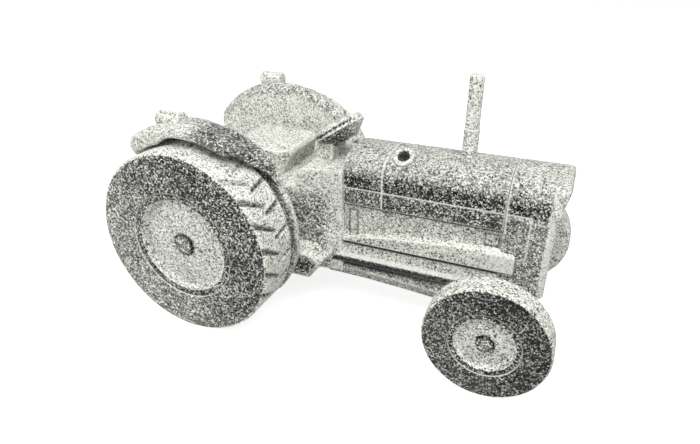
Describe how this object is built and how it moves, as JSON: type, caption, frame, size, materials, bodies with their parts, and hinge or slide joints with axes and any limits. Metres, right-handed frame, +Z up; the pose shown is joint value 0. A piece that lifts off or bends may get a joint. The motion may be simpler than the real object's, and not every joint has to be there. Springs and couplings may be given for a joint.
{
  "type": "stone model tractor",
  "caption": "Carved granite model of a classic farm tractor with a long bonnet, upright stack, flat seat, arched fenders and wheels that turn freely on headed axle pins.",
  "frame": {"origin": "on the ground under the middle of the bounding box", "axes": "+X forward, towards the nose; +Y to the left as seen from the seat; +Z up"},
  "size_m": [0.696, 0.424, 0.397],
  "materials": {
    "granite_polished": "polished, finely speckled",
    "granite_honed": "honed, finely speckled",
    "granite_sawn": "sawn and bush hammered, pale"
  },
  "bodies": {
    "body": {"engine_block": "granite_sawn", "gearbox": "granite_honed", "rear_axle": "granite_honed", "bonnet": "granite_polished", "nose": "granite_polished", "grille": "granite_sawn", "scuttle": "granite_sawn", "front_axle": "granite_honed", "axle_bracket": "granite_honed", "fender_left": "granite_polished", "fender_right": "granite_polished", "lamp_left": "granite_sawn", "lamp_right": "granite_sawn", "seat": "granite_sawn", "steering_column": "granite_sawn", "steering_wheel": "granite_honed", "exhaust_sleeve": "granite_sawn", "exhaust_pipe": "granite_sawn", "filler_boss": "granite_sawn", "footplate_left": "granite_sawn", "footplate_right": "granite_sawn", "pin_rear_left": "granite_polished", "pin_rear_right": "granite_polished", "pin_front_left": "granite_polished", "pin_front_right": "granite_polished"},
    "wheel_rear_left": {"tyre_rear_left": "granite_polished", "disc_rear_left": "granite_sawn"},
    "wheel_rear_right": {"tyre_rear_right": "granite_polished", "disc_rear_right": "granite_sawn"},
    "wheel_front_left": {"tyre_front_left": "granite_polished", "disc_front_left": "granite_sawn"},
    "wheel_front_right": {"tyre_front_right": "granite_polished", "disc_front_right": "granite_sawn"}
  },
  "joints": [
    {"name": "rear_left_wheel_spin", "type": "hinge", "parent": "body", "child": "wheel_rear_left", "pos_m": [-0.198, 0.173, 0.15], "axis": [0, 1, 0], "continuous": true},
    {"name": "rear_right_wheel_spin", "type": "hinge", "parent": "body", "child": "wheel_rear_right", "pos_m": [-0.198, -0.173, 0.15], "axis": [0, 1, 0], "continuous": true},
    {"name": "front_left_wheel_spin", "type": "hinge", "parent": "body", "child": "wheel_front_left", "pos_m": [0.261, 0.163, 0.087], "axis": [0, 1, 0], "continuous": true},
    {"name": "front_right_wheel_spin", "type": "hinge", "parent": "body", "child": "wheel_front_right", "pos_m": [0.261, -0.163, 0.087], "axis": [0, 1, 0], "continuous": true}
  ]
}
